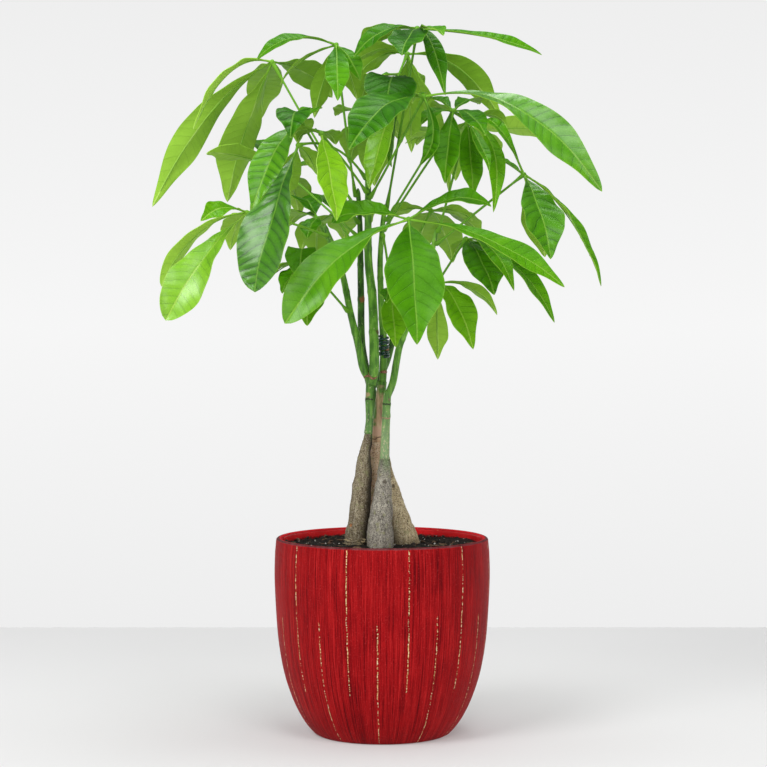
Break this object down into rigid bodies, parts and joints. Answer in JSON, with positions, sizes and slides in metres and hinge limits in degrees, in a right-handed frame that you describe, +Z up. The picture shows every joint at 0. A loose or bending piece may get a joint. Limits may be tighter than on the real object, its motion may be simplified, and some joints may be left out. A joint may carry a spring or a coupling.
{
  "type": "potted money tree",
  "caption": "Small money tree with several slim trunks, green stems and drooping palmate leaves, growing in a round red pot of soil.",
  "frame": {"origin": "middle of the pot's flat base", "axes": "+Z up along the plant, -Y towards the side seen in the picture, +X to its right"},
  "size_m": [0.3416, 0.2532, 0.5301],
  "materials": {
    "pot": "deep red satin glaze with fine upright combing and dotted gold lines, glossy inside, dusky worn rim",
    "soil": "dark crumbly potting soil with a few pale specks",
    "bark": "rough grey-brown bark",
    "stem": "smooth green young bark with scars",
    "tie": "glossy dark green plastic over wire",
    "leaf": "glossy green upper sides, paler and duller undersides"
  },
  "bodies": {
    "root": {"pot": "pot", "soil": "soil", "trunk_left": "bark", "trunk_front": "bark", "trunk_right": "bark", "trunk_centre": "bark", "stem_left": "stem", "stem_front": "stem", "stem_centre": "stem", "stem_back": "stem", "tie": "tie", "leaf_upper_left": "leaf", "leaf_top_left": "leaf", "leaf_crown_top": "leaf", "leaf_crown_back": "leaf", "leaf_upper_front": "leaf", "leaf_front_top": "leaf", "leaf_left_front": "leaf", "leaf_left_middle": "leaf", "leaf_left_upper": "leaf", "leaf_right_upper": "leaf", "leaf_right_inner": "leaf", "leaf_right_low": "leaf", "leaf_front_centre": "leaf", "leaf_right_under": "leaf", "leaf_low_right": "leaf", "leaf_low_centre": "leaf", "leaf_left_low": "leaf", "leaf_left_under": "leaf", "leaf_left_back": "leaf", "leaf_behind_left": "leaf", "leaf_behind_right": "leaf", "leaf_behind_centre": "leaf", "leaf_behind_low": "leaf", "leaf_behind_right_low": "leaf", "leaf_behind_top": "leaf"}
  },
  "joints": []
}
